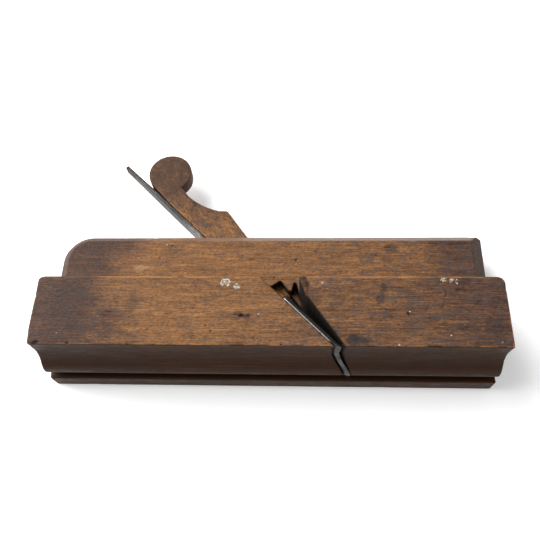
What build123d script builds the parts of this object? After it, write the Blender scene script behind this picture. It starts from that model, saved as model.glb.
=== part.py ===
"""Wooden ogee moulding plane: a beech stock, its wedge and its iron, lying on the blind side.

Frame: +X runs from the heel to the toe, +Y from the sole to the top of the stock, and +Z from
the blind face, which lies on the bench, to the side where the shavings come out. The origin is
the middle of the blind face. All sizes are in millimetres.
"""

import os
from math import cos, radians, sin, sqrt, tan

from build123d import *

# Stock: a thick lower body, and above its shoulder a thinner grip
stock_length = 254.0
stock_height = 86.6
stock_thickness = 52.0
grip_thickness = 29.0
shoulder_height = 47.2  # from the foot of the fence
heel_round = 17.0  # the heel's top corner
edge_chamfer = 5.2  # along the top and down the heel
toe_chamfer = 8.4
toe_corner_round = 4.0  # where the shoulder meets the toe
heel_corner_round = 2.0
worn_edge = 0.8

# Sole, from the fence to the depth stop
fence_thickness = 13.0
fence_drop = 7.3  # from the depth stop's edge to the foot of the fence
quirk_width = 3.6
quirk_depth = 5.0  # from the foot of the fence
quirk_side_depth = 1.7  # of the straight side below the ogee's nose
nose_height = 1.4  # lowest line of the ogee, above the foot of the fence
nose_from_fence = 7.8
hollow_radius = 22.0  # the ogee's hollow half
depth_stop_width = 11.2
depth_stop_rise = 0.8

# Bed, mortise and mouth
bed_angle = 45.0
wedge_angle = 10.0
mouth_from_middle = 36.0  # where the bed meets the level of the depth stop
mouth_length = 5.7
mortise_width = 9.2

# Throat: above the bend its front wall is steeper, and its lip in the mortise's cheek is chipped
throat_bend = -7.2
throat_lip = [(17.5, 3.9), (15.0, 13.0), (13.3, 5.4), (11.0, 5.6), (6.6, 12.0), (1.7, 8.4)]

# Iron, measured along the bed from the level of the frame's middle
iron_thickness = 2.6
iron_projection = 0.5
blade_margin = 0.4  # inside the escapement face
blade_low = -72.0
blade_top = -12.6
blade_corner_round = 3.0
bevel_to_sole = 12.0  # degrees
tang_start = -2.0
tang_start_round = 8.0
tang_taper_start = 100.0
tang_end = 139.5
tang_tip_thickness = 2.2
tang_tip_width = 6.0

# Wedge
running_clearance = 0.06
side_clearance = 0.1
finial_radius = 14.0
finial_along_bed = 116.2
finial_off_iron = 15.1  # its centre, from the iron
back_leaves_iron = 98.0  # along the bed; above this the back curves off to the finial
finial_end_angle = -53.0
neck_start = (-54.0, 75.0)
neck_middle = (-43.6, 67.5)
neck_end = (-33.5, 63.7)
wedge_corner_round = 2.5
wedge_foot_front = 3.0
wedge_foot_back = -1.5
foot_bevel = 4.0

half_length = stock_length / 2
foot = -stock_height / 2
top = stock_height / 2
shoulder = foot + shoulder_height
stop_level = foot + fence_drop
under_sole = foot - 3.0
over_top = top + 3.0
slot_low = fence_thickness  # the mortise and the throat share this side wall
slot_high = slot_low + mortise_width
bed_rise = sin(radians(bed_angle))
bed_run = cos(radians(bed_angle))
front_slope = tan(radians(bed_angle + wedge_angle))


def bed_x(y):
    """X of the bed at the level y."""
    return mouth_from_middle - (y - stop_level) * bed_run / bed_rise


def front_x(y):
    """X of the mortise's front wall at the level y."""
    return mouth_from_middle + mouth_length - (y - stop_level) / front_slope


def iron_x(y):
    """X of the iron's front face at the level y."""
    return bed_x(y) + iron_thickness / bed_rise


def wedge_back_x(y):
    """X of the wedge's back, which lies on the iron."""
    return iron_x(y) + running_clearance / bed_rise


def wedge_front_x(y):
    """X of the wedge's front, which presses on the mortise's front wall."""
    return front_x(y) - running_clearance / sin(radians(bed_angle + wedge_angle))


# The sole's outline, with Y to the right and Z upwards: fence, quirk, ogee and depth stop
nose = (foot + nose_height, fence_thickness + nose_from_fence)
stop_edge = (stop_level + depth_stop_rise, stock_thickness - depth_stop_width)
ogee_drop = stop_edge[0] - nose[0]
ogee_run = stop_edge[1] - nose[1]
hollow_share = 2 * hollow_radius * ogee_drop / (ogee_drop**2 + ogee_run**2)
ogee_turn = (stop_edge[0] - hollow_share * ogee_drop, stop_edge[1] - hollow_share * ogee_run)
quirk_floor = foot + quirk_depth
quirk_side = fence_thickness + quirk_width
quirk_side_end = (quirk_floor - quirk_side_depth, quirk_side)

with BuildLine() as sole_line:
    Polyline(
        (foot, fence_thickness),
        (quirk_floor, fence_thickness),
        (quirk_floor, quirk_side),
        quirk_side_end,
    )
    TangentArc(nose, quirk_side_end, tangent=(0, -1))
    TangentArc(nose, ogee_turn, tangent=(0, 1))
    TangentArc(stop_edge, ogee_turn, tangent=(0, -1))
    Line(stop_edge, (stop_level, stock_thickness))

# The grip: a rounded heel corner, and chamfered edges on both sides
with BuildPart() as grip:
    with BuildSketch(Plane.XY):
        with BuildLine():
            Polyline(
                (-half_length, top - heel_round),
                (-half_length, shoulder),
                (half_length, shoulder),
                (half_length, top),
                (-half_length + heel_round, top),
            )
            RadiusArc((-half_length, top - heel_round), (-half_length + heel_round, top), heel_round)
        make_face()
    extrude(amount=grip_thickness)
    for end in (0, -1):
        side = grip.faces().filter_by(Axis.Z).sort_by(Axis.Z)[end]
        over_shoulder = side.edges().sort_by(Axis.Y)[1:]
        chamfer(over_shoulder.sort_by(Axis.X)[:-1], length=edge_chamfer)
        side = grip.faces().filter_by(Axis.Z).sort_by(Axis.Z)[end]
        chamfer(side.edges().sort_by(Axis.X)[-1], length=toe_chamfer)

# The stock: the body below the shoulder, the grip, and the slots for the iron and the wedge
with BuildPart() as stock:
    with BuildSketch(Plane.YZ.offset(-half_length)):
        with BuildLine():
            add(sole_line.line)
            Polyline(
                (stop_level, stock_thickness),
                (shoulder, stock_thickness),
                (shoulder, 0),
                (foot, 0),
                (foot, fence_thickness),
            )
        make_face()
    extrude(amount=stock_length)
    shoulder_ends = stock.edges().filter_by(Axis.Z).group_by(Axis.Y)[-1].sort_by(Axis.X)
    fillet(shoulder_ends[-1], radius=toe_corner_round)
    shoulder_ends = stock.edges().filter_by(Axis.Z).group_by(Axis.Y)[-1].sort_by(Axis.X)
    fillet(shoulder_ends[0], radius=heel_corner_round)
    body_edges = stock.edges().filter_by(Axis.X).group_by(Axis.Z)[-1]
    fillet(body_edges, radius=worn_edge)
    add(grip.part)

    with BuildSketch(Plane.XY.offset(slot_low)):
        with BuildLine():
            Polyline(
                (bed_x(under_sole), under_sole),
                (front_x(under_sole), under_sole),
                (front_x(over_top), over_top),
                (bed_x(over_top), over_top),
                close=True,
            )
        make_face()
    extrude(amount=mortise_width, mode=Mode.SUBTRACT)

    lip_end = throat_lip[-1][1]
    with BuildSketch(Plane.XY.offset(slot_high)):
        with BuildLine():
            Polyline(
                (bed_x(under_sole), under_sole),
                (front_x(under_sole), under_sole),
                (front_x(throat_bend), throat_bend),
                *throat_lip,
                (bed_x(lip_end), lip_end),
                close=True,
            )
        make_face()
    extrude(amount=stock_thickness - slot_high, mode=Mode.SUBTRACT)

# The iron: a wide blade ground to the sole's outline, and a narrow tang
iron_low = slot_low + side_clearance
iron_high = stock_thickness - blade_margin
tang_high = slot_high - side_clearance
tip_inset = (tang_high - iron_low - tang_tip_width) / 2
along_bed = (-bed_run, bed_rise, 0)
off_bed = (bed_rise, bed_run, 0)
bed_plane = Plane(origin=(bed_x(0), 0, 0), x_dir=along_bed, z_dir=off_bed)
edge_plane = Plane(
    origin=(iron_x(-iron_projection), -iron_projection, 0), x_dir=along_bed, z_dir=off_bed
)
iron_side = Plane(origin=(bed_x(0), 0, 0), x_dir=along_bed, z_dir=(0, 0, -1))

with BuildPart() as iron:
    with BuildSketch(bed_plane) as iron_outline:
        with BuildLine():
            Polyline(
                (blade_low, iron_low),
                (tang_taper_start, iron_low),
                (tang_end, iron_low + tip_inset),
                (tang_end, tang_high - tip_inset),
                (tang_taper_start, tang_high),
                (tang_start, tang_high),
                (blade_top, iron_high),
                (blade_low, iron_high),
                close=True,
            )
        make_face()
        blade_corners = iron_outline.vertices().group_by(Axis.Y)[-1].sort_by(Axis.X)
        fillet(blade_corners[-1], radius=blade_corner_round)
        tang_corners = iron_outline.vertices().sort_by_distance((tang_start, tang_high))
        fillet(tang_corners[0], radius=tang_start_round)
    extrude(amount=iron_thickness)

    with BuildSketch(iron_side):
        with BuildLine():
            Polyline(
                (tang_taper_start, iron_thickness),
                (tang_end, tang_tip_thickness),
                (tang_end, iron_thickness),
                close=True,
            )
        make_face()
    extrude(amount=stock_thickness, both=True, mode=Mode.SUBTRACT)

    with BuildSketch(edge_plane):
        with BuildLine():
            add(sole_line.line)
            Polyline(
                (stop_level, stock_thickness),
                (blade_low, stock_thickness),
                (blade_low, fence_thickness),
                (foot, fence_thickness),
            )
        make_face()
        scale(by=(1 / bed_rise, 1, 1))
    clearance_angle = radians(bevel_to_sole)
    grind = (-cos(clearance_angle), sin(clearance_angle), 0)
    extrude(amount=4 * iron_thickness, dir=grind, mode=Mode.SUBTRACT)

# The wedge: a tapered leg, a hollowed neck and a round finial to tap on
wedge_back = Vector(wedge_back_x(0), 0)
finial_centre = wedge_back + (
    Vector(along_bed) * finial_along_bed + Vector(off_bed) * finial_off_iron
)
back_end = wedge_back + Vector(along_bed) * back_leaves_iron
wedge_shoulder = neck_end[1]


def on_finial(angle):
    """Point of the finial's rim at an angle in degrees from +X."""
    return finial_centre + Vector(finial_radius, 0).rotate(Axis.Z, angle)


with BuildPart() as wedge:
    with BuildSketch(Plane.XY.offset(slot_low + side_clearance)) as wedge_outline:
        with BuildLine():
            finial_start_angle = 270 - bed_angle
            finial_middle_angle = (finial_start_angle + finial_end_angle) / 2
            Polyline(
                (wedge_back_x(wedge_foot_back), wedge_foot_back),
                back_end,
                on_finial(finial_start_angle),
            )
            ThreePointArc(
                on_finial(finial_start_angle),
                on_finial(finial_middle_angle),
                on_finial(finial_end_angle),
            )
            Line(on_finial(finial_end_angle), neck_start)
            ThreePointArc(neck_start, neck_middle, neck_end)
            Polyline(
                neck_end,
                (wedge_front_x(wedge_shoulder), wedge_shoulder),
                (wedge_front_x(wedge_foot_front), wedge_foot_front),
                (wedge_back_x(wedge_foot_back), wedge_foot_back),
            )
        make_face()
        wedge_corner = (wedge_front_x(wedge_shoulder), wedge_shoulder)
        fillet(wedge_outline.vertices().sort_by_distance(wedge_corner)[0], radius=wedge_corner_round)
    extrude(amount=mortise_width - 2 * side_clearance)
    near_side = wedge.faces().sort_by(Axis.Z)[-1]
    chamfer(near_side.edges().sort_by(Axis.Y)[0], length=foot_bevel)

os.makedirs("parts", exist_ok=True)
for name, piece in {"stock": stock, "iron": iron, "wedge": wedge}.items():
    piece.part.label = name
    export_step(piece.part, f"parts/{name}.step")
    box = piece.part.bounding_box()
    print(name, round(piece.part.volume), [round(v, 2) for v in (*box.min, *box.max)])
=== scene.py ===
# %% [markdown]
# # An old moulding plane, lying on its blind side
#
# The imported model gives the frame: a beech stock, its wedge and its iron, in metres. +X runs from
# the heel to the toe, +Y from the sole to the top, and +Z from the bench to the side where the
# shavings come out. Every place below is measured in that frame, in millimetres times `mm`.
#
# The model's own surfaces are as crisp as on the day the plane was made. This one has worked for
# a century, so each piece is copied, given an even skin of small faces and then worn in code:
# arrises rounded where hands hold it, chipped where the shavings tear past, dirty in the corners,
# where shade is painted as well.

# %% Frame
import math

import bmesh
import bpy
import numpy as np
from mathutils import Matrix, Vector


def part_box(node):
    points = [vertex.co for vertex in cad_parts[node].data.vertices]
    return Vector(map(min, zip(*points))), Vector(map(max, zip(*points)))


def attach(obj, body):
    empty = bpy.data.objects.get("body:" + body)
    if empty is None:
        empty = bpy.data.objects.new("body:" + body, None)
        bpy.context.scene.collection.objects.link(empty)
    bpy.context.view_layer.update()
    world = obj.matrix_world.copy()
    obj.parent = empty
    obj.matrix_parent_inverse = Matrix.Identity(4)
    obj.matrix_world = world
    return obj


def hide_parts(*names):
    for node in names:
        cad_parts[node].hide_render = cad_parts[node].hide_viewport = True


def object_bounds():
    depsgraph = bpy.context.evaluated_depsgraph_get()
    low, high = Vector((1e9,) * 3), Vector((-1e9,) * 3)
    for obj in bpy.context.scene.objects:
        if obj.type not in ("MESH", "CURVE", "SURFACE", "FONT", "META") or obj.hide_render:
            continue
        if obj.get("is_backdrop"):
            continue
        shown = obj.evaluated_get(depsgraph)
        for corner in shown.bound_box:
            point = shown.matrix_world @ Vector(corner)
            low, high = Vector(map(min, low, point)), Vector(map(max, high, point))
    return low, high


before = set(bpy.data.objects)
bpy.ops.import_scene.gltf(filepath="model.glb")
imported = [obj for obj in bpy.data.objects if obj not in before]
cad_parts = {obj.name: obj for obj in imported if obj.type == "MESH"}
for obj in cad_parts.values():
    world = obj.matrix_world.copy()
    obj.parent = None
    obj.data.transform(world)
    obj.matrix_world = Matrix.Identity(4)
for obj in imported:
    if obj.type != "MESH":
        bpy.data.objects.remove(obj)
cad_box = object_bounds()
mm = 0.001
scene = bpy.context.scene
print("the plane's box in mm:", [[round(v / mm, 1) for v in corner] for corner in cad_box])

# %% [markdown]
# Two faces meet the eye: the body's near side, and the grip's side, which stands lower. Their
# levels, and the shoulder between them, come from the frame, and most marks are placed by them.

# %% Levels
stock_low, stock_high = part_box("stock")
iron_low, iron_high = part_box("iron")
wedge_low, wedge_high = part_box("wedge")
body_face = stock_high[2]
grip_face = body_face - 23 * mm
shoulder = 3.9 * mm
sole_edge = -36 * mm  # the arris between the near side and the sole
heel_end = stock_low[0]
toe_end = stock_high[0]
foot = stock_low[1]
mortise_floor = 13 * mm
mortise_cheek = 22.2 * mm
print("body face", body_face / mm, "grip face", grip_face / mm)

# %% [markdown]
# ## Camera
#
# The plane is seen from above and a little from its sole, so that the moulded sole shows as a
# band under the near side. The camera is held 350 mm above the bench. Its matrix is built from
# three turns, in this order: yaw, pitch, roll.

# %% Camera
camera_place = Vector((20.76, -138.64, 351.71)) * mm
camera_yaw = math.radians(-3.6427)
camera_pitch = math.radians(25.9347)
camera_roll = math.radians(-1.6333)


def camera_axes(yaw, pitch, roll):
    """The camera's right, up and back directions, on a bench seen from above."""
    ahead = Vector((math.sin(yaw) * math.cos(pitch), math.cos(yaw) * math.cos(pitch), math.sin(pitch)))
    right = Vector((math.cos(yaw), -math.sin(yaw), 0))
    down = ahead.cross(right)
    turned_right = right * math.cos(roll) + down * math.sin(roll)
    turned_up = right * math.sin(roll) - down * math.cos(roll)
    return [Vector((v.x, v.z, -v.y)) for v in (turned_right, turned_up, -ahead)]


camera = bpy.data.objects.new("camera", bpy.data.cameras.new("camera"))
camera.data.lens = 40.76
camera.data.sensor_width = 36
camera.data.clip_start = 10 * mm
turned = Matrix(camera_axes(camera_yaw, camera_pitch, camera_roll)).transposed()
camera.matrix_world = Matrix.Translation(camera_place) @ turned.to_4x4()
scene.collection.objects.link(camera)
scene.camera = camera
print("camera at", [round(v / mm) for v in camera_place], "mm")

# %% [markdown]
# ## Bench and light
#
# A lit white bench and one large soft light from the upper left, behind the top of the plane,
# leave the sole in shade and no hard shadow, and a white sky gives the wood something to reflect.

# %% Floor
def plain_paint(name, colour, roughness, glow):
    """A matt, faintly lit paint for what isn't part of the object."""
    paint = bpy.data.materials.new(name)
    paint.use_nodes = True
    shader = paint.node_tree.nodes["Principled BSDF"]
    shader.inputs["Base Color"].default_value = (*colour, 1)
    shader.inputs["Roughness"].default_value = roughness
    shader.inputs["Emission Color"].default_value = (1, 1, 1, 1)
    shader.inputs["Emission Strength"].default_value = glow
    return paint


floor_half = 3.0
bench_glow = 0.28
floor_mesh = bpy.data.meshes.new("floor")
floor_corners = [(-1, -1), (1, -1), (1, 1), (-1, 1)]
floor_points = [(x * floor_half, y * floor_half, 0) for x, y in floor_corners]
floor_mesh.from_pydata(floor_points, [], [(0, 1, 2, 3)])
floor_mesh.materials.append(plain_paint("bench_white", (0.9, 0.9, 0.9), 0.9, bench_glow))
floor = bpy.data.objects.new("floor", floor_mesh)
scene.collection.objects.link(floor)
floor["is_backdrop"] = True

# %% Light
def soft_light(name, place, size, power):
    """A square softbox that looks at the plane."""
    lamp = bpy.data.lights.new(name, "AREA")
    lamp.size = size
    lamp.energy = power
    holder = bpy.data.objects.new(name, lamp)
    holder.location = place
    holder.rotation_euler = (-Vector(place)).to_track_quat("-Z", "Y").to_euler()
    scene.collection.objects.link(holder)


soft_light("key_light", (-2.5, 1.3, 2.4), 3.4, 310)
sky = bpy.data.worlds.new("studio")
sky.use_nodes = True
sky.node_tree.nodes["Background"].inputs["Color"].default_value = (1, 1, 1, 1)
sky.node_tree.nodes["Background"].inputs["Strength"].default_value = 0.42
scene.world = sky
scene.view_settings.view_transform = "Standard"

# %% [markdown]
# ## Tools for wearing a surface
#
# A carver's tools in numpy: smooth random values that can be stretched along the grain, a way to
# relax a surface so that arrises soften, and a way to read and write a mesh's points.
#
# The skin is a voxel remesh. Blender's Bevel would round every arris alike; an even skin can be
# rounded, chipped and dented differently at each place. The CAD mesh is loose triangles, so the
# copy is merged first. The copy is what changes: the CAD node itself is never touched.

# %% Random values
def noise(places, size, seed):
    """Smooth random values from 0 to 1 which change over about `size` metres, a length or three."""
    cell = places / np.asarray(size)
    low = np.floor(cell).astype(np.int64)
    part = cell - low
    part = part * part * (3 - 2 * part)
    total = np.zeros(len(places))
    for corner in np.ndindex(2, 2, 2):
        at = low + np.array(corner)
        mixed = (at[:, 0] * 73856093) ^ (at[:, 1] * 19349663)
        mixed = mixed ^ (at[:, 2] * 83492791) ^ (seed * 265443576)
        mixed = ((mixed ^ (mixed >> 13)) * 1274126177) & 0x7FFFFFFF
        mixed = (mixed ^ (mixed >> 16)) & 0xFFFF
        share = np.prod(np.where(np.array(corner) == 1, part, 1 - part), axis=1)
        total += share * mixed / 0xFFFF
    return total


def rough_noise(places, size, seed, octaves=3):
    """Noise with finer and fainter noise on it."""
    total = np.zeros(len(places))
    weight = 0
    for octave in range(octaves):
        total += noise(places, np.asarray(size) / 2**octave, seed + octave) / 2**octave
        weight += 1 / 2**octave
    return total / weight


def ease(values, start, end):
    """0 before start, 1 after end, smooth between; start may be the larger."""
    part = np.clip((values - start) / (end - start), 0, 1)
    return part * part * (3 - 2 * part)


# %% Skin
def skin(node, name, voxel):
    """A new piece: an even skin of small faces over a copy of a CAD node."""
    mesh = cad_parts[node].data.copy()
    mesh.materials.clear()
    work = bmesh.new()
    work.from_mesh(mesh)
    bmesh.ops.remove_doubles(work, verts=work.verts, dist=0.001 * mm)
    work.to_mesh(mesh)
    work.free()
    piece = bpy.data.objects.new(name, mesh)
    scene.collection.objects.link(piece)
    remesh = piece.modifiers.new("skin", "REMESH")
    remesh.mode = "VOXEL"
    remesh.voxel_size = voxel
    bake_down(piece)
    print(name, "skin:", len(piece.data.vertices), "points")
    return piece


def bake_down(piece):
    """Turns the piece and its modifiers into a plain mesh."""
    graph = bpy.context.evaluated_depsgraph_get()
    mesh = bpy.data.meshes.new_from_object(
        piece.evaluated_get(graph), preserve_all_data_layers=True, depsgraph=graph
    )
    piece.modifiers.clear()
    piece.data = mesh
    mesh.name = piece.name


# %% Reading and writing points
def places_of(mesh):
    """The points of a mesh as rows of x, y, z."""
    flat = np.empty(len(mesh.vertices) * 3, np.float32)
    mesh.vertices.foreach_get("co", flat)
    return flat.reshape(-1, 3).astype(float)


def put_places(mesh, places):
    """Moves the points of a mesh."""
    mesh.vertices.foreach_set("co", places.astype(np.float32).ravel())
    mesh.update()


def normals_of(mesh):
    """The outward direction at each point."""
    flat = np.empty(len(mesh.vertices) * 3, np.float32)
    mesh.vertex_normals.foreach_get("vector", flat)
    return flat.reshape(-1, 3).astype(float)


def edges_of(mesh):
    """The two points of each edge."""
    flat = np.empty(len(mesh.edges) * 2, np.int32)
    mesh.edges.foreach_get("vertices", flat)
    return flat[0::2], flat[1::2]


def note(mesh, name, values):
    """Stores a value from 0 to 1 at each point, for the materials."""
    attribute = mesh.attributes.new(name, "FLOAT", "POINT")
    attribute.data.foreach_set("value", np.clip(values, 0, 1).astype(np.float32))


def relaxed(values, edges, rounds):
    """Each point moves halfway to the middle of its neighbours, `rounds` times."""
    first, second = edges
    count = len(values)
    neighbours = np.bincount(first, minlength=count) + np.bincount(second, minlength=count)
    for _ in range(rounds):
        sums = [
            np.bincount(first, column[second], count) + np.bincount(second, column[first], count)
            for column in values.T
        ]
        values = (values + np.stack(sums, axis=1) / neighbours[:, None]) / 2
    return values


# %% [markdown]
# Wear takes wood off outer arrises and never adds any. The surface is relaxed a lot, and each
# point moves towards that softer surface only where it lies inside the old one, by a share that
# varies from place to place. The same difference says where hands polish, and where grime gathers
# and shade is painted.

# %% Wear
def wear_down(mesh, first_rounds, wear_rounds, share):
    """Rounds outer arrises by share(places), and returns how sharp and how hollow each point was."""
    edges = edges_of(mesh)
    places = relaxed(places_of(mesh), edges, first_rounds)
    put_places(mesh, places)
    normals = normals_of(mesh)
    inwards = -np.sum((relaxed(places, edges, wear_rounds) - places) * normals, axis=1)
    depth = np.clip(inwards, 0, None) * share(places)
    put_places(mesh, places - normals * depth[:, None])
    return np.clip(inwards, 0, None), np.clip(-inwards, 0, None)


def thin_out(piece, most_triangles, kept):
    """Joins small faces until the piece has few enough, sparing the points where kept is high."""
    mesh = piece.data
    triangles = sum(len(face.vertices) - 2 for face in mesh.polygons)
    if triangles > most_triangles:
        group = piece.vertex_groups.new(name="free_to_join")
        free = np.nonzero(kept < 0.5)[0]
        group.add(free.tolist(), 1.0, "REPLACE")
        thin = piece.modifiers.new("thin", "DECIMATE")
        thin.ratio = most_triangles / triangles
        thin.vertex_group = group.name
        bake_down(piece)
        piece.vertex_groups.clear()
    piece.data.shade_smooth()
    print(piece.name, "has", sum(len(face.vertices) - 2 for face in piece.data.polygons), "triangles")


def keep_inside(piece, low, high):
    """Presses a piece's points back into a box: wear takes off, and adds nothing."""
    places = places_of(piece.data)
    inside = np.clip(places, np.array(low), np.array(high))
    moved = np.abs(inside - places).max() / mm
    put_places(piece.data, inside)
    print(piece.name, "pressed in by at most", round(float(moved), 3), "mm")


# %% [markdown]
# ## The stock
#
# The stock is one billet of beech with its grain along X. A century of hands has rounded its
# arrises unevenly; those of the sole stay crisper, because the iron and the work keep them true.
# The fence's corner at the heel has been knocked round.

# %% Stock: skin and rounded arrises
fine_voxel = 0.55 * mm
voxel = fine_voxel


def rounds_for(reach, step):
    """How many relaxing rounds soften a surface over this reach, with points a step apart."""
    return max(2, round(4 * (reach / step) ** 2))


def stock_share(places):
    """How much of the full rounding each arris of the stock has had."""
    x, y, z = places.T
    share = 0.05 + 0.35 * noise(places, 21 * mm, 11) + 0.25 * noise(places, 4 * mm, 12)
    nicks = ease(noise(places, (6 * mm, 4 * mm, 4 * mm), 13), 0.78, 0.88)
    share += 1.4 * nicks
    share *= 1 - 0.4 * ease(y, sole_edge + 1 * mm, sole_edge - 1 * mm)
    share += 3.2 * corner(places, (heel_end, sole_edge, body_face), 9 * mm)
    share += 1.0 * corner(places, (heel_end, foot, mortise_floor), 5 * mm)
    return share


def corner(places, at, reach):
    """1 at a corner, fading to 0 at its reach."""
    return 1 - ease(np.linalg.norm(places - np.array(at), axis=1), 0.3 * reach, reach)


stock = skin("stock", "worn_stock", fine_voxel)
sharp, hollow = wear_down(stock.data, 1, rounds_for(0.8 * mm, voxel), stock_share)
print("most wood worn off an arris:", round(sharp.max() / mm, 2), "mm")

# %% [markdown]
# Dents, a knot with its crack, and the torn corner beside the throat are carved as a level: no
# point of the near side may stand higher than the level at its x and y. Each mark is a small
# dish, so a mark needs only its place, its length and width, its depth and its turn.

# %% Stock: marks
# x, y, length, width, depth, turn in degrees
body_marks = [
    (-12.6, -19.5, 11.0, 0.8, 0.8, -6),
    (-12.8, -18.9, 3.0, 1.5, 0.9, 0),
    (-9.0, -19.6, 5.0, 0.8, 0.7, 12),
    (-15.6, -18.6, 4.6, 0.7, 0.5, -16),
    (74.7, -17.6, 2.2, 1.8, 0.5, -30),
    (95.2, -6.5, 6.5, 0.8, 0.4, 80),
    (93.0, -13.2, 4.4, 0.8, 0.5, 38),
    (-31.5, -25.0, 1.6, 1.2, 0.5, 0),
    (-28.6, -28.0, 1.6, 1.3, 0.5, 0),
    (-38.4, -2.4, 1.5, 1.0, 0.4, 0),
    (43.0, -20.6, 2.6, 0.8, 0.4, 8),
    (69.5, -24.0, 2.0, 0.8, 0.4, -20),
    (-5.5, -31.5, 1.8, 1.2, 0.4, 25),
    (-84.0, -17.4, 8.0, 0.9, 0.4, -6),
    (-96.0, 0.6, 2.4, 1.0, 0.5, 0),
    (-52.6, -18.5, 1.6, 1.2, 0.5, 0),
    (118.6, -17.2, 1.6, 1.0, 0.4, 0),
    (60.0, -8.5, 3.6, 1.6, 0.3, 30),
    (-121.0, -34.8, 5.0, 2.2, 0.7, 6),
    (-104.0, -35.2, 2.2, 1.4, 0.6, 0),
    (8.5, -35.2, 2.6, 1.4, 0.5, 0),
    (66.0, -35.3, 3.0, 1.0, 0.5, 0),
]
grip_marks = [
    (-10.5, 25.5, 8.0, 0.7, 0.5, -3),
    (15.5, 25.4, 2.0, 1.4, 0.7, 0),
    (27.0, 31.0, 3.4, 0.7, 0.5, 0),
    (69.5, 33.8, 7.0, 1.1, 0.6, 0),
    (-59.5, 35.0, 1.2, 1.2, 0.8, 0),
    (3.0, 13.8, 1.8, 1.1, 0.7, 0),
    (-66.0, 26.5, 1.2, 3.4, 0.4, 12),
]


def dishes(x, y, marks):
    """Depth of the marks at each x and y."""
    depth = np.zeros(len(x))
    for mark_x, mark_y, length, width, deep, turn in marks:
        cos_turn = math.cos(math.radians(turn))
        sin_turn = math.sin(math.radians(turn))
        aside_x = x / mm - mark_x
        aside_y = y / mm - mark_y
        along = (aside_x * cos_turn + aside_y * sin_turn) / length
        across = (aside_y * cos_turn - aside_x * sin_turn) / width
        reach = np.hypot(along, across) * 2
        depth = np.maximum(depth, deep * mm * (1 - ease(reach, 0.2, 1.1)))
    return depth


def torn_corner(places):
    """Depth of the corner torn off the throat's front wall, just under the shoulder."""
    x, y, z = places.T
    edge = 17.5 * mm - np.maximum(0, -7.2 * mm - y) * 0.7 + (3.9 * mm - y) * 0.2
    beyond = x - edge
    width = 4.6 * mm * ease(y, -14 * mm, -4 * mm) + 0.8 * mm
    ragged = width * (0.2 + 1.5 * rough_noise(places, (1.3 * mm, 2.6 * mm, 9 * mm), 21))
    near_throat = ease(beyond, ragged, 0) * (x + y > 4 * mm) * (x < 30 * mm)
    fibre = 0.5 + noise(places, (0.7 * mm, 4 * mm, 9 * mm), 24)
    return 1.4 * mm * near_throat * fibre * ease(y, sole_edge + 4 * mm, -10 * mm)


# %% Stock: carving
def carved(places):
    """Lowers the two near faces to their marks."""
    x, y, z = places.T
    fine = 0.12 * mm * ease(noise(places, (3.2 * mm, 0.9 * mm, 9 * mm), 31), 0.72, 0.9)
    hollow_ground = 0.16 * mm * noise(places, (30 * mm, 12 * mm, 30 * mm), 32)
    body = dishes(x, y, body_marks) + torn_corner(places) + fine + hollow_ground + 0.1 * mm
    grip = dishes(x, y, grip_marks) + fine + hollow_ground + 0.1 * mm
    on_body = (y < shoulder + 0.4 * mm) & (z > body_face - 5 * mm)
    on_grip = (y > shoulder - 0.4 * mm) & (z > grip_face - 5 * mm) & (z < grip_face + 0.3 * mm)
    z = np.where(on_body, np.minimum(z, body_face - body), z)
    z = np.where(on_grip, np.minimum(z, grip_face - grip), z)
    marked = np.where(on_body, body, np.where(on_grip, grip, 0)) - hollow_ground - 0.1 * mm
    return np.stack([x, y, z], axis=1), marked


crisp = places_of(stock.data)
worn_places, marked = carved(crisp)
put_places(stock.data, worn_places)
print("deepest mark:", round(marked.max() / mm, 2), "mm")

# %% [markdown]
# What a place has been through, and where shade and a sheen are painted, is stored on the points,
# so that the finish can follow it: polished arrises, grime and painted shade in the hollows, painted
# shade on the walls of the mortise and the throat, a painted sheen on the top chamfer, stains, the
# moulded sole darkened by grime and painted shade, and the warm patch that a hand has kept clean in
# front of the heel.

# %% Stock: what each point has been through
def inner_walls(places, normals):
    """1 on the walls of the mortise and the throat, 0 outside."""
    x, y, z = places.T
    slanted = (np.abs(normals[:, 0]) > 0.35) & (np.abs(x) < toe_end - 12 * mm)
    floor_wall = (np.abs(z - mortise_floor) < 1.2 * mm) & (normals[:, 2] > 0.5) & (y > foot + 6 * mm)
    cheek = (np.abs(z - mortise_cheek) < 1.2 * mm) & (normals[:, 2] < -0.5)
    return (slanted | floor_wall | cheek).astype(float)


def spot(x, y, mark_x, mark_y, wide, high):
    """1 at a place, fading to 0 over an oval around it."""
    return 1 - ease(np.hypot((x / mm - mark_x) / wide, (y / mm - mark_y) / high), 0.45, 1.0)


def stock_stains(places):
    """Oil and damp marks, with ragged edges."""
    x, y, z = places.T
    ragged = places + (rough_noise(places, 3 * mm, 41)[:, None] - 0.5) * 5 * mm
    a, b = ragged[:, 0], ragged[:, 1]
    stains = 1.0 * spot(a, b, 45.5, -32.6, 5.6, 3.6)
    for x0, y0, wide, high, strength in [
        (51, -33.6, 4.4, 2.2, 0.9),
        (62.5, -4.5, 2.6, 7, 0.6),
        (60, -10, 4, 3, 0.6),
        (74.7, -17.6, 2.2, 1.8, 0.9),
        (106, 0.5, 4, 2, 0.6),
        (119, -24, 7, 9, 0.45),
        (-106, -16, 16, 28, 0.3),
        (-72, -12, 5, 9, 0.4),
        (-12.6, -19.4, 7, 2.4, 0.75),
        (-14.0, -19.6, 17, 3.4, 0.3),
        (72, 33, 6, 5, 0.5),
        (69, 26, 5, 4, 0.5),
        (26, -8, 7, 5, 0.35),
    ]:
        stains = np.maximum(stains, strength * spot(a, b, x0, y0, wide, high))
    return stains


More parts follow.
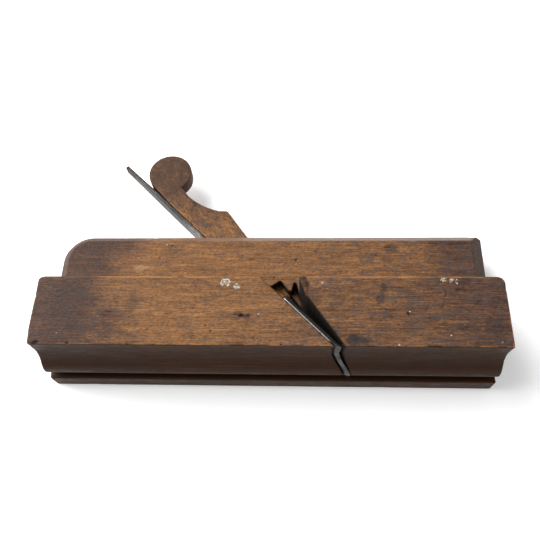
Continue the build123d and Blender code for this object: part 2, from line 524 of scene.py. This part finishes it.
def warmth(places):
    """1 where a clean hand has kept the wood orange, 0 where it has gone dark."""
    x, y, z = places.T
    drift = (rough_noise(places, (34 * mm, 13 * mm, 20 * mm), 51) - 0.5) * 60 * mm
    from_hand = np.hypot((x + 44 * mm + drift) * 0.95, (y + 4 * mm) * 0.8)
    warm = 1 - ease(from_hand, 12 * mm, 60 * mm)
    warm += 0.4 * ease(x, -30 * mm, 10 * mm) * ease(x + drift, 130 * mm, 50 * mm)
    warm += 0.25 * ease(y, shoulder, shoulder + 8 * mm) * ease(np.abs(x - 12 * mm), 100 * mm, 60 * mm)
    return 0.08 + 0.9 * warm


normals = normals_of(stock.data)
# Painted shade: the walls of the mortise and the throat are coloured near black, a little less at the
# near rim.
inner_shade = inner_walls(worn_places, normals)
inner_shade = relaxed(inner_shade[:, None], edges_of(stock.data), 3)[:, 0]
x, y, z = worn_places.T
near_rim = ease(z, body_face - 2.5 * mm, body_face - 0.3 * mm)
torn = 0.3 * ease(torn_corner(worn_places), 0.1 * mm, 1.2 * mm) * ease(z, body_face - 6 * mm, body_face)
along_shoulder = ease(np.abs(y - shoulder), 1.6 * mm, 0.6 * mm) * (z > grip_face + 3 * mm)
rubbed = ease(rough_noise(worn_places, (14 * mm, 6 * mm, 6 * mm), 55), 0.45, 0.6)
handled = 0.6 * ease(rough_noise(worn_places, (12 * mm, 5 * mm, 5 * mm), 57), 0.36, 0.6)
along_sole = ease(np.abs(y - sole_edge), 1.1 * mm, 0.4 * mm) * (z > body_face - 1.5 * mm)
knocked = 0.55 * ease(rough_noise(worn_places, (6 * mm, 4 * mm, 4 * mm), 59), 0.44, 0.62)
arrises = np.maximum(along_shoulder * handled, along_sole * knocked)
stock_worn = ease(sharp, 0.08 * mm, 0.3 * mm) * rubbed
stock_worn = np.maximum(stock_worn, ease(sharp, 0.02 * mm, 0.14 * mm) * arrises)
note(stock.data, "worn", stock_worn * (1 - inner_shade))
# Painted reflection: a grey sheen on the top chamfer, fading towards the heel.
chamfer_faces = (normals[:, 1] > 0.4) & (normals[:, 2] > 0.3) & (y > shoulder + 3 * mm)
painted_sheen = relaxed(chamfer_faces.astype(float)[:, None], edges_of(stock.data), 1)[:, 0]
note(stock.data, "painted_sheen", painted_sheen * (0.12 + 0.88 * ease(x, -85 * mm, 15 * mm)))
bared = spot(x, y, -75.5, 20.5, 8, 4.5) * (z < grip_face + 3 * mm)
note(stock.data, "bared", bared * (normals[:, 2] > 0.5))
# Grime and painted shade darken the hollows.
note(stock.data, "dirt_and_shade", ease(hollow, 0.06 * mm, 0.5 * mm))
note(stock.data, "inner_shade", inner_shade * (1 - 0.12 * near_rim))
note(stock.data, "torn", torn)
note(stock.data, "marked", ease(marked, 0.1 * mm, 0.5 * mm))
near_face = ease(z, body_face - 6 * mm, body_face - 3 * mm)
scraped = 0.75 * ease(torn_corner(worn_places), 0.05 * mm, 0.5 * mm) * near_face
note(stock.data, "stain", np.maximum(stock_stains(worn_places), scraped))
note(stock.data, "warm", warmth(worn_places))
note(stock.data, "grey", 0.45 + 0.55 * ease(x, -40 * mm, 60 * mm))
# The moulded sole is darkened by grime and by painted shade.
moulded = (normals[:, 1] < -0.45) & (y < sole_edge + 1 * mm) | (y < sole_edge - 0.4 * mm)
note(stock.data, "sole", relaxed(moulded.astype(float)[:, None], edges_of(stock.data), 1)[:, 0])
facing = (normals[:, 2] > 0.2) | (sharp > 0.1 * mm) | (y < sole_edge + 1 * mm)
facing |= (inner_shade > 0.2) & (z > 30 * mm)
thin_out(stock, 190000, facing)
keep_inside(stock, stock_low, stock_high)

# %% [markdown]
# ## The iron
#
# One bar of forged steel: a blade ground to the sole's outline, and a tang that tapers to the
# tip that the hammer finds. Its arrises shine where the wedge and the shavings rub them, and a
# painted highlight runs along one arris of its near edge.

# %% Iron
bed_rise = math.sin(math.radians(45))
iron_voxel = 0.34 * mm


def iron_share(places):
    """The tang's tip is mushroomed by the hammer, and the rest is rounded a little."""
    x, y, z = places.T
    along = (y - x) * bed_rise
    share = 0.3 + 0.5 * noise(places, 9 * mm, 61)
    return share * ease(along, 146 * mm, 134 * mm)


iron = skin("iron", "worn_iron", iron_voxel)
iron_step = iron_voxel
iron_sharp, iron_hollow = wear_down(iron.data, 1, rounds_for(0.4 * mm, iron_step), iron_share)
iron_places = places_of(iron.data)
scale_pits = ease(rough_noise(iron_places, 1.7 * mm, 62), 0.62, 0.78)
iron_places -= normals_of(iron.data) * (0.08 * mm * scale_pits)[:, None]
x, y, z = iron_places.T
off_bed = (x + y) * bed_rise
backed_off = np.maximum(0.8 * mm * ease(y, sole_edge + 4 * mm, sole_edge + 1 * mm) - off_bed, 0)
x = x + backed_off * bed_rise
y = y + backed_off * bed_rise
iron_places = np.stack([x, y, z], axis=1)
put_places(iron.data, iron_places)
along = (y - x) * bed_rise
bed_side = ease(off_bed, 0.5 * mm, 0.15 * mm)
near_edge = ease(z, body_face - 2.2 * mm, body_face - 0.9 * mm) * (y > sole_edge + 1 * mm)
note(iron.data, "worn", ease(iron_sharp, 0.06 * mm, 0.3 * mm))
# Painted highlight: a pale line along the bed-side arris of the near edge.
note(iron.data, "painted_glint", near_edge * bed_side)
# Painted shade darkens the blade in the throat and the mortise; the tang darkens further up.
in_sole = ease(y, sole_edge + 2 * mm, sole_edge + 0.5 * mm)
in_throat = ease(along, 45 * mm, 25 * mm) * (1 - 0.75 * in_sole)
up_the_tang = 0.68 * ease(along, 60 * mm, 85 * mm)
note(iron.data, "darkening", np.maximum(in_throat, up_the_tang) * (1 - near_edge * bed_side))
note(iron.data, "rust", ease(along, 118 * mm, 142 * mm) * 0.8 + 0.2 * scale_pits)
thin_out(iron, 190000, np.ones(len(z)))
keep_inside(iron, iron_low, iron_high)

# %% [markdown]
# ## The wedge
#
# The wedge is split from the same sort of beech, with its grain along its back. Its finial is
# tapped up and down all its life, so its rim is bruised; its foot has splintered in the throat.

# %% Wedge
wedge_voxel = 0.4 * mm


def wedge_share(places):
    """The finial's rim is the most bruised."""
    x, y, z = places.T
    share = 0.15 + 0.5 * noise(places, 7 * mm, 71) + 0.3 * noise(places, 2.5 * mm, 72)
    return share + 0.15 * ease(y, 75 * mm, 90 * mm)


wedge = skin("wedge", "worn_wedge", wedge_voxel)
wedge_step = wedge_voxel
wedge_sharp, wedge_hollow = wear_down(wedge.data, 1, rounds_for(0.55 * mm, wedge_step), wedge_share)
wedge_places = places_of(wedge.data)
x, y, z = wedge_places.T
splinter = ease(y, 19 * mm, 12 * mm) * ease(z, 15 * mm, 20 * mm)
fibres = rough_noise(np.stack([(x + y), (y - x) * 0.15, z], axis=1), 1.3 * mm, 73)
bruises = ease(rough_noise(wedge_places, 2.2 * mm, 74), 0.62, 0.8) * 0.15 * mm
cut = splinter * fibres * 0.7 * mm + bruises
wedge_places -= normals_of(wedge.data) * cut[:, None]
put_places(wedge.data, wedge_places)
rubbed = ease(rough_noise(wedge_places, 5 * mm, 76), 0.28, 0.52)
wedge_worn = ease(wedge_sharp, 0.06 * mm, 0.22 * mm) * rubbed
note(wedge.data, "worn", wedge_worn)
note(wedge.data, "painted_sheen", np.zeros(len(z)))
note(wedge.data, "bared", np.zeros(len(z)))
# Grime and painted shade darken the hollows, and grime the bruises.
note(wedge.data, "dirt_and_shade", ease(wedge_hollow, 0.05 * mm, 0.3 * mm) + bruises / (0.3 * mm))
# Painted shade: the wedge's faces turned to the iron and its foot in the throat are darkened.
towards_iron = -(normals_of(wedge.data) @ np.array([bed_rise, bed_rise, 0]))
shaded = 0.8 * ease(towards_iron, 0.25, 0.6) * ease(y, 30 * mm, 45 * mm) * (1 - wedge_worn)
in_throat = ease(y, 36 * mm, 20 * mm) * (1 - splinter)
note(wedge.data, "inner_shade", np.maximum(in_throat, shaded))
note(wedge.data, "torn", splinter)
note(wedge.data, "marked", np.zeros(len(z)))
blotches = 0.35 + 1.0 * rough_noise(wedge_places, 4 * mm, 77)
note(wedge.data, "stain", ease(y, 62 * mm, 84 * mm) * blotches)
note(wedge.data, "warm", 0.35 + 0.5 * noise(wedge_places, 12 * mm, 75))
note(wedge.data, "grey", np.full(len(z), 0.8))
thin_out(wedge, 190000, np.ones(len(z)))
keep_inside(wedge, wedge_low, wedge_high)

# %% [markdown]
# ## Finishes
#
# A small helper keeps the materials readable. Every pattern reads object coordinates in metres,
# so a size is a real size: a noise of (24, 0.6, 0.8) mm is a streak of grain 24 mm long.

# %% A material on the bench
class Finish:
    """A material being built. `turn` lays the pattern's X along the piece's grain."""

    def __init__(self, name, turn=0):
        self.material = bpy.data.materials.new(name)
        self.material.use_nodes = True
        self.tree = self.material.node_tree
        self.shader = self.tree.nodes["Principled BSDF"]
        coordinates = self.tree.nodes.new("ShaderNodeTexCoord").outputs["Object"]
        self.place = self.add("ShaderNodeMapping", {"Vector": coordinates, "Rotation": (0, 0, turn)})

    def add(self, kind, inputs, **settings):
        """A node with its inputs linked or set; gives its first output."""
        node = self.tree.nodes.new(kind)
        for key, value in settings.items():
            setattr(node, key, value)
        for key, value in inputs.items():
            if isinstance(value, bpy.types.NodeSocket):
                self.tree.links.new(value, node.inputs[key])
            else:
                node.inputs[key].default_value = value
        return node.outputs[0]

    def noise(self, size, detail=2.0, distortion=0.0):
        """Noise of a size in millimetres along, across and through the grain."""
        scale = tuple(1 / (length * mm) for length in size)
        at = self.add("ShaderNodeMapping", {"Vector": self.place, "Scale": scale})
        inputs = {"Vector": at, "Scale": 1.0, "Detail": detail, "Distortion": distortion}
        return self.add("ShaderNodeTexNoise", inputs)

    def band(self, value, start, end, most=1.0):
        """0 before start, `most` after end, smooth between."""
        inputs = {"Value": value, "From Min": start, "From Max": end, "To Min": 0.0, "To Max": most}
        return self.add("ShaderNodeMapRange", inputs, interpolation_type="SMOOTHSTEP")

    def maths(self, operation, first, second):
        """One sum, such as MULTIPLY or ADD."""
        return self.add("ShaderNodeMath", {0: first, 1: second}, operation=operation)

    def weighed(self, *parts):
        """The sum of values, each with its weight."""
        total = self.maths("MULTIPLY", *parts[0])
        for value, weight in parts[1:]:
            total = self.maths("ADD", total, self.maths("MULTIPLY", value, weight))
        return total

    def noted(self, name):
        """A value stored on the points."""
        node = self.tree.nodes.new("ShaderNodeAttribute")
        node.attribute_name = name
        return node.outputs["Fac"]

    def ramp(self, value, stops):
        """Colours along a value."""
        node = self.tree.nodes.new("ShaderNodeValToRGB")
        self.tree.links.new(value, node.inputs[0])
        elements = node.color_ramp.elements
        while len(elements) < len(stops):
            elements.new(0.5)
        for element, (position, colour) in zip(elements, stops):
            element.position = position
            element.color = (*colour, 1)
        return node.outputs[0]

    def over(self, share, under, colour):
        """Lays a colour over what is there, by a share."""
        node = self.tree.nodes.new("ShaderNodeMix")
        node.data_type = "RGBA"
        for socket, value in ((0, share), (6, under), (7, colour)):
            if isinstance(value, bpy.types.NodeSocket):
                self.tree.links.new(value, node.inputs[socket])
            else:
                node.inputs[socket].default_value = (*value, 1) if socket else value
        return node.outputs[2]

    def connect(self, colour, roughness, height, depth):
        """Joins the layers to the shader, with a height of this depth in millimetres as bump."""
        bump = self.add("ShaderNodeBump", {"Height": height, "Distance": depth * mm, "Strength": 1.0})
        self.tree.links.new(colour, self.shader.inputs["Base Color"])
        self.tree.links.new(roughness, self.shader.inputs["Roughness"])
        self.tree.links.new(bump, self.shader.inputs["Normal"])
        return self.material


# %% [markdown]
# Old beech is two colours at once: warm brown where it has been handled clean, and a cold dark
# brown where soot and oil have soaked in. Both have the same figure: streaks along the grain,
# the short dark flecks that mark beech, and pale ones. The stored values choose between them and
# lay wear, a painted sheen, grime and painted shade, stains and torn wood on top, in the order in which
# they came.

# %% Beech
warm_beech = [(0.37, (0.066, 0.032, 0.017)), (0.5, (0.19, 0.088, 0.034)), (0.63, (0.33, 0.158, 0.06))]
cold_beech = [(0.39, (0.027, 0.015, 0.011)), (0.5, (0.064, 0.034, 0.024)), (0.61, (0.13, 0.063, 0.037))]
fleck_brown = (0.045, 0.02, 0.012)
pit_black = (0.016, 0.009, 0.006)
haze_grey = (0.062, 0.051, 0.05)
rubbed_orange = (0.42, 0.19, 0.062)
dirt_brown = (0.022, 0.013, 0.009)
# Colours of the painted shade in the mortise and the throat; the first also darkens the iron's tang.
darkening_black = (0.009, 0.007, 0.006)
shade_brown = (0.03, 0.02, 0.015)
stain_blue = (0.019, 0.018, 0.02)
stain_brown = (0.046, 0.026, 0.02)
bared_wood = (0.36, 0.21, 0.11)
# Colour of the painted reflection on the top chamfer.
sheen_grey = (0.17, 0.135, 0.118)
# Colour of the grime and painted shade on the moulded sole.
sole_dirt_shade_brown = (0.034, 0.0135, 0.0056)
torn_orange = (0.33, 0.135, 0.043)


def beech(name, turn, streak, fleck, sole, stain):
    """Old beech; streak and fleck are the figure's sizes in mm; sole darkens the moulded face with grime
    and painted shade.
    """
    wood = Finish(name, turn)
    streaks = wood.noise(streak, 3.0)
    broad = wood.noise((60, 4, 6), 2.0)
    mottle = wood.noise((6, 3, 3), 4.0, 0.6)
    speckle = wood.noise((1.7, 0.8, 0.8), 2.0)
    figure = wood.weighed((streaks, 0.4), (broad, 0.15), (mottle, 0.17), (speckle, 0.28))
    kept_clean = wood.weighed((wood.noted("warm"), 0.8), (mottle, 0.25), (streaks, 0.2))
    warm_share = wood.band(kept_clean, 0.25, 0.85)
    colour = wood.over(warm_share, wood.ramp(figure, cold_beech), wood.ramp(figure, warm_beech))
    haze = wood.band(wood.noise((7, 3, 3), 8.0, 1.2), 0.46, 0.66, 0.68)
    haze = wood.maths("MULTIPLY", haze, wood.noted("grey"))
    colour = wood.over(haze, colour, haze_grey)
    flecks = wood.band(wood.noise(fleck, 1.0), 0.6, 0.7, 0.55)
    colour = wood.over(flecks, colour, fleck_brown)
    pits = wood.band(wood.noise((1.5, 0.8, 0.8), 1.0), 0.73, 0.8, 0.85)
    colour = wood.over(pits, colour, pit_black)
    bare = wood.maths("MULTIPLY", wood.noted("bared"), wood.band(mottle, 0.42, 0.64, 0.5))
    colour = wood.over(bare, colour, bared_wood)
    colour = wood.over(wood.noted("worn"), colour, rubbed_orange)
    # Painted reflection: the grey sheen on the top chamfer.
    colour = wood.over(wood.maths("MULTIPLY", wood.noted("painted_sheen"), 0.8), colour, sheen_grey)
    # Grime and painted shade darken the moulded sole.
    if sole:
        below = wood.noted("sole")
        lines = wood.noise((40, 0.5, 1.2), 3.0)
        depth = wood.weighed((lines, -1.0), (broad, -0.3), (below, 1.62))
        darkened = wood.maths("MULTIPLY", below, wood.band(depth, 0.3, 0.95, 0.98))
        colour = wood.over(darkened, colour, sole_dirt_shade_brown)
    colour = wood.over(wood.maths("MULTIPLY", wood.noted("stain"), 0.85), colour, stain)
    colour = wood.over(wood.noted("marked"), colour, pit_black)
    # Grime and painted shade in the hollows.
    colour = wood.over(wood.maths("MULTIPLY", wood.noted("dirt_and_shade"), 0.85), colour, dirt_brown)
    # Painted shade on the walls of the mortise and the throat, and on the wedge's faces turned to the
    # iron and its foot in the throat.
    darkening = wood.ramp(wood.noise((0.7, 6, 3), 3.0), [(0.4, darkening_black), (0.7, shade_brown)])
    colour = wood.over(wood.noted("inner_shade"), colour, darkening)
    fibres = wood.ramp(wood.noise((8, 0.7, 0.9), 3.0), [(0.34, dirt_brown), (0.54, torn_orange)])
    colour = wood.over(wood.maths("MULTIPLY", wood.noted("torn"), 0.85), colour, fibres)
    wood.shader.inputs["Specular IOR Level"].default_value = 0.1
    roughness = wood.weighed((mottle, 0.35), (flecks, 0.2), (wood.noted("inner_shade"), 0.3), (streaks, 0.75))
    height = wood.weighed((streaks, 0.5), (speckle, 0.3), (flecks, -0.5), (pits, -0.9))
    return wood.connect(colour, roughness, height, 0.1)


stock_beech = beech("stock_beech", 0, (14, 0.32, 0.5), (2.2, 0.32, 0.4), True, stain_blue)
wedge_turn = math.radians(45)
wedge_beech = beech("wedge_beech", wedge_turn, (3, 0.6, 0.8), (1.0, 0.5, 0.6), False, stain_brown)

# %% [markdown]
# The steel is bare and brown-grey, drawn along its length by the hammer and the file. The rubbed
# arrises are pale, a painted highlight runs along the bed-side arris of its near edge, painted
# shade darkens the blade inside the throat, and the tang darkens further up.

# %% Steel
steel_grey = [(0.42, (0.035, 0.032, 0.03)), (0.52, (0.085, 0.08, 0.076)), (0.62, (0.18, 0.172, 0.165))]
rust_brown = (0.13, 0.075, 0.045)
# Also the colour of the painted highlight along the near edge.
bright_steel_and_glint = (0.62, 0.6, 0.58)


def forged_steel(name, turn):
    """Old tool steel with its drawn lines along the bar."""
    steel = Finish(name, turn)
    drawn = steel.noise((30, 0.35, 0.5), 3.0)
    patches = steel.noise((7, 3, 3), 4.0, 0.5)
    figure = steel.weighed((drawn, 0.5), (patches, 0.5))
    colour = steel.ramp(figure, steel_grey)
    rust = steel.maths("MULTIPLY", steel.noted("rust"), steel.band(patches, 0.4, 0.6))
    colour = steel.over(rust, colour, rust_brown)
    rubbed = steel.maths("MULTIPLY", steel.noted("worn"), steel.band(patches, 0.42, 0.6, 0.55))
    colour = steel.over(rubbed, colour, bright_steel_and_glint)
    # Painted shade on the blade in the throat, and the darker tang.
    colour = steel.over(steel.maths("MULTIPLY", steel.noted("darkening"), 0.9), colour, darkening_black)
    # Painted highlight along the near edge.
    colour = steel.over(steel.noted("painted_glint"), colour, bright_steel_and_glint)
    roughness = steel.weighed((patches, 0.4), (drawn, 0.3), (rust, 0.3), (steel.noted("darkening"), 0.2))
    steel.shader.inputs["Metallic"].default_value = 0.85
    height = steel.weighed((drawn, 0.4), (patches, 0.6))
    return steel.connect(colour, roughness, height, 0.12)


tool_steel = forged_steel("tool_steel", wedge_turn)

# %% [markdown]
# ## Spots of old paint
#
# Somebody once painted a room near this plane: a few dabs of distemper stuck to the body, and a
# fine spatter all over it. Dabs and spatter repeat one thing, a small flat crumb, so a Geometry
# Nodes tree scatters crumbs on points that carry a size. Its inputs are the crumb's flatness and
# stretch, a seed and the paint; noise in the tree makes each crumb lumpy, and a fixed seed turns
# each crumb its own way.

# %% Paint crumbs
def crumb_tree():
    """The tree that puts a flat, rough crumb on each point."""
    tree = bpy.data.node_groups.new("paint_crumbs", "GeometryNodeTree")
    face = tree.interface
    face.new_socket("Geometry", in_out="INPUT", socket_type="NodeSocketGeometry")
    face.new_socket("Flatness", in_out="INPUT", socket_type="NodeSocketFloat")
    face.new_socket("Stretch", in_out="INPUT", socket_type="NodeSocketFloat")
    face.new_socket("Seed", in_out="INPUT", socket_type="NodeSocketInt")
    face.new_socket("Paint", in_out="INPUT", socket_type="NodeSocketMaterial")
    face.new_socket("Geometry", in_out="OUTPUT", socket_type="NodeSocketGeometry")
    nodes, link = tree.nodes, tree.links.new
    given = nodes.new("NodeGroupInput")
    crumb = nodes.new("GeometryNodeMeshIcoSphere")
    crumb.inputs["Radius"].default_value = 1.0
    crumb.inputs["Subdivisions"].default_value = 3
    lumps = nodes.new("ShaderNodeTexNoise")
    lumps.inputs["Scale"].default_value = 1.6
    around = nodes.new("ShaderNodeMath")
    around.operation = "MULTIPLY_ADD"
    around.inputs[1].default_value = 1.2
    around.inputs[2].default_value = 0.3
    link(lumps.outputs[0], around.inputs[0])
    place = nodes.new("GeometryNodeInputPosition")
    grown = nodes.new("ShaderNodeVectorMath")
    grown.operation = "SCALE"
    link(place.outputs[0], grown.inputs[0])
    link(around.outputs[0], grown.inputs["Scale"])
    shaped = nodes.new("GeometryNodeSetPosition")
    link(crumb.outputs["Mesh"], shaped.inputs["Geometry"])
    link(grown.outputs[0], shaped.inputs["Position"])
    size = nodes.new("GeometryNodeInputNamedAttribute")
    size.inputs["Name"].default_value = "size"
    proportions = nodes.new("ShaderNodeCombineXYZ")
    proportions.inputs["Y"].default_value = 1.0
    link(given.outputs["Stretch"], proportions.inputs["X"])
    link(given.outputs["Flatness"], proportions.inputs["Z"])
    scaled = nodes.new("ShaderNodeVectorMath")
    scaled.operation = "SCALE"
    link(proportions.outputs[0], scaled.inputs[0])
    link(size.outputs[0], scaled.inputs["Scale"])
    turn = nodes.new("FunctionNodeRandomValue")
    turn.data_type = "FLOAT_VECTOR"
    turn.inputs["Min"].default_value = (0, 0, -math.pi)
    turn.inputs["Max"].default_value = (0, 0, math.pi)
    link(given.outputs["Seed"], turn.inputs["Seed"])
    scatter = nodes.new("GeometryNodeInstanceOnPoints")
    link(given.outputs["Geometry"], scatter.inputs["Points"])
    link(shaped.outputs[0], scatter.inputs["Instance"])
    link(turn.outputs[0], scatter.inputs["Rotation"])
    link(scaled.outputs[0], scatter.inputs["Scale"])
    real = nodes.new("GeometryNodeRealizeInstances")
    link(scatter.outputs[0], real.inputs[0])
    painted = nodes.new("GeometryNodeSetMaterial")
    link(real.outputs[0], painted.inputs["Geometry"])
    link(given.outputs["Paint"], painted.inputs["Material"])
    link(painted.outputs[0], nodes.new("NodeGroupOutput").inputs[0])
    return tree


def old_paint():
    """Yellowed distemper with grime in it."""
    paint = Finish("old_distemper")
    grubby = paint.noise((1.1, 1.1, 1.1), 3.0, 0.4)
    colour = paint.ramp(grubby, [(0.42, (0.14, 0.11, 0.075)), (0.6, (0.46, 0.42, 0.31))])
    roughness = paint.weighed((grubby, 0.3), (grubby, 0.4))
    return paint.connect(colour, roughness, grubby, 0.15)


# %% Where the paint landed
paint_seed = 7
face_skin = 0.2 * mm
luck = np.random.default_rng(paint_seed)


def level_at(y):
    """Level of the near face at a height, just under the wood's surface."""
    face = body_face if y < shoulder else grip_face
    return face - face_skin


def cluster(centre_x, centre_y, wide, high, count, smallest, largest, ring=0.0):
    """Crumbs strewn over an oval; ring keeps its middle clear."""
    crumbs = []
    for _ in range(count):
        angle = luck.uniform(0, 2 * math.pi)
        out = math.sqrt(luck.uniform(ring * ring, 1))
        x = centre_x * mm + math.cos(angle) * out * wide * mm
        y = centre_y * mm + math.sin(angle) * out * high * mm
        crumbs.append((x, y, luck.uniform(smallest, largest) * mm))
    return crumbs


dabs = cluster(-22.2, 0.1, 2.4, 2.3, 46, 0.3, 0.75)
dabs += cluster(-15.9, -2.4, 1.6, 1.5, 26, 0.3, 0.6, 0.2)
dabs += cluster(94.6, 2.0, 2.0, 1.1, 16, 0.25, 0.6)
dabs += cluster(98.4, 1.4, 1.8, 1.1, 12, 0.2, 0.5)
dabs += cluster(101.3, 0.8, 0.6, 1.6, 8, 0.2, 0.45)
# x, y, size
drops = [
    (30.4, -0.1, 0.75),
    (-3.5, -18.5, 0.45),
    (68.8, -35.0, 0.6),
    (95.6, -29.6, 0.5),
    (120.8, -33.2, 0.5),
    (75.6, -16.6, 0.4),
    (-111.0, -29.6, 0.3),
    (-62.5, 35.5, 0.55),
    (34.0, 9.0, 0.5),
    (15.6, 22.6, 0.35),
]
drops = [(x * mm, y * mm, size * mm) for x, y, size in drops]
for _ in range(34):
    drops.append((luck.uniform(-120, 122) * mm, luck.uniform(-33, 41) * mm, luck.uniform(0.1, 0.2) * mm))

# %% Scattering the paint
crumbs = crumb_tree()
distemper = old_paint()


def paint_piece(name, spots, flatness, stretch, seed):
    """One mesh of crumbs, one for each spot."""
    mesh = bpy.data.meshes.new(name)
    mesh.from_pydata([(x, y, level_at(y)) for x, y, _ in spots], [], [])
    sizes = mesh.attributes.new("size", "FLOAT", "POINT")
    sizes.data.foreach_set("value", [size for _, _, size in spots])
    piece = bpy.data.objects.new(name, mesh)
    scene.collection.objects.link(piece)
    scatter = piece.modifiers.new("crumbs", "NODES")
    scatter.node_group = crumbs
    values = {"Flatness": flatness, "Stretch": stretch, "Seed": seed, "Paint": distemper}
    for socket in crumbs.interface.items_tree:
        if socket.name in values:
            scatter[socket.identifier] = values[socket.name]
    bake_down(piece)
    print(name, "has", len(spots), "crumbs and", len(piece.data.polygons), "faces")
    return piece


paint_dabs = paint_piece("paint_dabs", dabs, 0.35, 1.3, 3)
paint_drops = paint_piece("paint_drops", drops, 0.5, 1.15, 5)
for piece in (paint_dabs, paint_drops):
    keep_inside(piece, *cad_box)

# %% [markdown]
# ## Putting it together
#
# Each worn piece stands for its CAD node, rides on that node's body and takes the finish built
# for it, and the CAD node is hidden. The paint is stuck to the stock, so it rides on the stock.

# %% Assembly
for piece, node, finish, slot in (
    (stock, "stock", stock_beech, "stock_wood"),
    (wedge, "wedge", wedge_beech, "wedge_wood"),
    (iron, "iron", tool_steel, "iron_steel"),
):
    piece.data.materials.clear()
    piece.data.materials.append(finish)
    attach(piece, node)
    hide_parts(node)
for piece in (paint_dabs, paint_drops):
    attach(piece, "stock")

# %% Size, and the end
sizes = {
    "cad": [list(corner) for corner in cad_box],
    "visual": [list(corner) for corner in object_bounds()],
}
for name, box in sizes.items():
    print(name, [[round(v / mm, 2) for v in corner] for corner in box])
